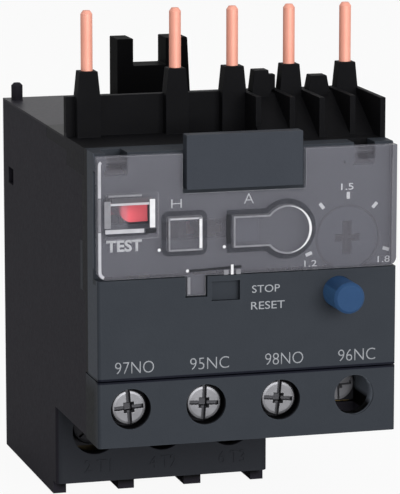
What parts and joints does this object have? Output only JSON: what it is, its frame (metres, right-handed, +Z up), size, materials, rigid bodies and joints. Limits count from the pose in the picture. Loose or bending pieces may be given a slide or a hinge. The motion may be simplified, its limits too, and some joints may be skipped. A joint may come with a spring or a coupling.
{
  "type": "thermal overload relay",
  "caption": "Narrow three-pole thermal overload relay with plug-in pins, clear hinged cover, current dial, stop button and screw terminals.",
  "frame": {"origin": "centre of the bounding box's bottom, level with the feet", "axes": "+X to the right as seen from the front, -Y out of the front face, +Z up towards the pins"},
  "size_m": [0.045, 0.0666, 0.075],
  "materials": {
    "black_plastic": "fine matt moulding, near black",
    "grey_plastic": "fine matt moulding, dark blue-grey",
    "clear_plastic": "clear polycarbonate",
    "pin_copper": "bright copper",
    "plated_steel": "zinc plated steel",
    "terminal_brass": "bright brass",
    "bimetal_steel": "rolled bimetal strip",
    "heater_tape": "glass tape with heating ribbon",
    "dial_plastic": "grey moulding",
    "blue_plastic": "satin blue moulding",
    "red_plastic": "satin red moulding",
    "mechanism_plastic": "natural moulding"
  },
  "bodies": {
    "housing": {"base_housing": "black_plastic", "front_housing": "grey_plastic", "aux_block": "grey_plastic", "pin_deck": "black_plastic", "mounting_hook": "black_plastic", "locating_peg": "black_plastic", "marker_plate": "grey_plastic", "hinge_pins": "plated_steel", "lever_shaft": "plated_steel", "coil_pin": "pin_copper", "aux_pin": "pin_copper", "button_spring": "plated_steel", "contact_spring": "plated_steel", "busbar_1": "pin_copper", "busbar_2": "pin_copper", "busbar_3": "pin_copper", "pole_terminal_1": "terminal_brass", "pole_terminal_2": "terminal_brass", "pole_terminal_3": "terminal_brass", "aux_terminal_1": "terminal_brass", "aux_terminal_2": "terminal_brass", "aux_terminal_3": "terminal_brass", "aux_terminal_4": "terminal_brass"},
    "cover": {"clear_cover": "clear_plastic"},
    "dial": {"dial": "dial_plastic", "dial_cam": "dial_plastic"},
    "setting_slider": {"setting_slider": "dial_plastic"},
    "selector": {"reset_selector": "dial_plastic"},
    "button": {"stop_button": "blue_plastic"},
    "flag": {"trip_flag": "red_plastic", "flag_bar": "red_plastic"},
    "lever": {"trip_lever": "mechanism_plastic", "compensation_strip": "bimetal_steel"},
    "slides": {"slide_lower": "mechanism_plastic", "slide_upper": "mechanism_plastic", "slide_link": "mechanism_plastic"},
    "carrier": {"contact_carrier": "mechanism_plastic", "nc_bridge": "terminal_brass", "no_bridge": "terminal_brass"},
    "pole_1": {"bimetal_1": "bimetal_steel", "heater_1": "heater_tape"},
    "pole_2": {"bimetal_2": "bimetal_steel", "heater_2": "heater_tape"},
    "pole_3": {"bimetal_3": "bimetal_steel", "heater_3": "heater_tape"},
    "power_clamp_1": {"power_clamp_1": "plated_steel"},
    "power_screw_1": {"power_screw_1": "plated_steel"},
    "power_clamp_2": {"power_clamp_2": "plated_steel"},
    "power_screw_2": {"power_screw_2": "plated_steel"},
    "power_clamp_3": {"power_clamp_3": "plated_steel"},
    "power_screw_3": {"power_screw_3": "plated_steel"},
    "aux_clamp_1": {"aux_clamp_1": "plated_steel"},
    "aux_screw_1": {"aux_screw_1": "plated_steel"},
    "aux_clamp_2": {"aux_clamp_2": "plated_steel"},
    "aux_screw_2": {"aux_screw_2": "plated_steel"},
    "aux_clamp_3": {"aux_clamp_3": "plated_steel"},
    "aux_screw_3": {"aux_screw_3": "plated_steel"},
    "aux_clamp_4": {"aux_clamp_4": "plated_steel"},
    "aux_screw_4": {"aux_screw_4": "plated_steel"}
  },
  "joints": [
    {"name": "cover_hinge", "type": "hinge", "parent": "housing", "child": "cover", "pos_m": [0, -0.02475, 0.055], "axis": [-1, 0, 0], "range_deg": [0, 105]},
    {"name": "dial_turn", "type": "hinge", "parent": "housing", "child": "dial", "pos_m": [0.0157, -0.02535, 0.04235], "axis": [0, 1, 0], "range_deg": [-113, 113]},
    {"name": "setting_slide", "type": "slide", "parent": "housing", "child": "setting_slider", "axis": [0, 0, 1], "range_m": [-0.0008, 0.0008]},
    {"name": "selector_slide", "type": "slide", "parent": "housing", "child": "selector", "axis": [-1, 0, 0], "range_m": [0, 0.0099]},
    {"name": "button_press", "type": "slide", "parent": "housing", "child": "button", "axis": [0, 1, 0], "range_m": [0, 0.0025], "stiffness_N_per_m": 400, "springref_m": -0.0008, "deforming": ["button_spring"]},
    {"name": "bimetal_1_bend", "type": "hinge", "parent": "housing", "child": "pole_1", "pos_m": [-0.0164, 0.01225, 0.0181], "axis": [0, 1, 0], "range_deg": [0, 2.8], "stiffness_Nm_per_rad": 0.4},
    {"name": "bimetal_2_bend", "type": "hinge", "parent": "housing", "child": "pole_2", "pos_m": [-0.00585, 0.01225, 0.0181], "axis": [0, 1, 0], "range_deg": [0, 2.8], "stiffness_Nm_per_rad": 0.4},
    {"name": "bimetal_3_bend", "type": "hinge", "parent": "housing", "child": "pole_3", "pos_m": [0.0048, 0.01225, 0.0181], "axis": [0, 1, 0], "range_deg": [0, 2.8], "stiffness_Nm_per_rad": 0.4},
    {"name": "trip_slide", "type": "slide", "parent": "housing", "child": "slides", "axis": [1, 0, 0], "range_m": [0, 0.00143]},
    {"name": "lever_turn", "type": "hinge", "parent": "housing", "child": "lever", "pos_m": [0.0187, 0.00025, 0.038], "axis": [0, 0, -1], "range_deg": [0, 6.84]},
    {"name": "carrier_slide", "type": "slide", "parent": "housing", "child": "carrier", "axis": [0, 1, 0], "range_m": [0, 0.00168], "deforming": ["contact_spring"]},
    {"name": "flag_slide", "type": "slide", "parent": "housing", "child": "flag", "axis": [-1, 0, 0], "range_m": [0, 0.0018]},
    {"name": "power_clamp_1_travel", "type": "slide", "parent": "housing", "child": "power_clamp_1", "axis": [0, -1, 0], "range_m": [0, 0.00315]},
    {"name": "power_screw_1_turn", "type": "hinge", "parent": "power_clamp_1", "child": "power_screw_1", "pos_m": [-0.0164, 0.00155, 0.0099], "axis": [0, -1, 0], "range_deg": [0, 1620]},
    {"name": "power_clamp_2_travel", "type": "slide", "parent": "housing", "child": "power_clamp_2", "axis": [0, -1, 0], "range_m": [0, 0.00315]},
    {"name": "power_screw_2_turn", "type": "hinge", "parent": "power_clamp_2", "child": "power_screw_2", "pos_m": [-0.00585, 0.00155, 0.0099], "axis": [0, -1, 0], "range_deg": [0, 1620]},
    {"name": "power_clamp_3_travel", "type": "slide", "parent": "housing", "child": "power_clamp_3", "axis": [0, -1, 0], "range_m": [0, 0.00315]},
    {"name": "power_screw_3_turn", "type": "hinge", "parent": "power_clamp_3", "child": "power_screw_3", "pos_m": [0.0048, 0.00155, 0.0099], "axis": [0, -1, 0], "range_deg": [0, 1620]},
    {"name": "aux_clamp_1_travel", "type": "slide", "parent": "housing", "child": "aux_clamp_1", "axis": [0, -1, 0], "range_m": [-0.0068, 0]},
    {"name": "aux_screw_1_turn", "type": "hinge", "parent": "aux_clamp_1", "child": "aux_screw_1", "pos_m": [-0.01763, -0.01975, 0.0193], "axis": [0, -1, 0], "range_deg": [-4081, 0]},
    {"name": "aux_clamp_2_travel", "type": "slide", "parent": "housing", "child": "aux_clamp_2", "axis": [0, -1, 0], "range_m": [-0.0068, 0]},
    {"name": "aux_screw_2_turn", "type": "hinge", "parent": "aux_clamp_2", "child": "aux_screw_2", "pos_m": [-0.00637, -0.01975, 0.0193], "axis": [0, -1, 0], "range_deg": [-4081, 0]},
    {"name": "aux_clamp_3_travel", "type": "slide", "parent": "housing", "child": "aux_clamp_3", "axis": [0, -1, 0], "range_m": [-0.0068, 0]},
    {"name": "aux_screw_3_turn", "type": "hinge", "parent": "aux_clamp_3", "child": "aux_screw_3", "pos_m": [0.00489, -0.01975, 0.0193], "axis": [0, -1, 0], "range_deg": [-4081, 0]},
    {"name": "aux_clamp_4_travel", "type": "slide", "parent": "housing", "child": "aux_clamp_4", "axis": [0, -1, 0], "range_m": [0, 0.0068]},
    {"name": "aux_screw_4_turn", "type": "hinge", "parent": "aux_clamp_4", "child": "aux_screw_4", "pos_m": [0.01615, -0.01975, 0.0193], "axis": [0, -1, 0], "range_deg": [0, 4081]}
  ],
  "couplings": [
    {"joint": "dial_turn", "follows": "setting_slide", "rad_per_m": -2465.3},
    {"joint": "bimetal_1_bend", "follows": "trip_slide", "rad_per_m": 34.13},
    {"joint": "bimetal_2_bend", "follows": "trip_slide", "rad_per_m": 34.13},
    {"joint": "bimetal_3_bend", "follows": "trip_slide", "rad_per_m": 34.13},
    {"joint": "lever_turn", "follows": "trip_slide", "rad_per_m": 83.333},
    {"joint": "carrier_slide", "follows": "trip_slide", "ratio": 1.1667},
    {"joint": "flag_slide", "follows": "trip_slide", "ratio": 1.25},
    {"joint": "power_screw_1_turn", "follows": "power_clamp_1_travel", "rad_per_m": 8976},
    {"joint": "power_screw_2_turn", "follows": "power_clamp_2_travel", "rad_per_m": 8976},
    {"joint": "power_screw_3_turn", "follows": "power_clamp_3_travel", "rad_per_m": 8976},
    {"joint": "aux_screw_1_turn", "follows": "aux_clamp_1_travel", "rad_per_m": 10472},
    {"joint": "aux_screw_2_turn", "follows": "aux_clamp_2_travel", "rad_per_m": 10472},
    {"joint": "aux_screw_3_turn", "follows": "aux_clamp_3_travel", "rad_per_m": 10472},
    {"joint": "aux_screw_4_turn", "follows": "aux_clamp_4_travel", "rad_per_m": 10472}
  ]
}
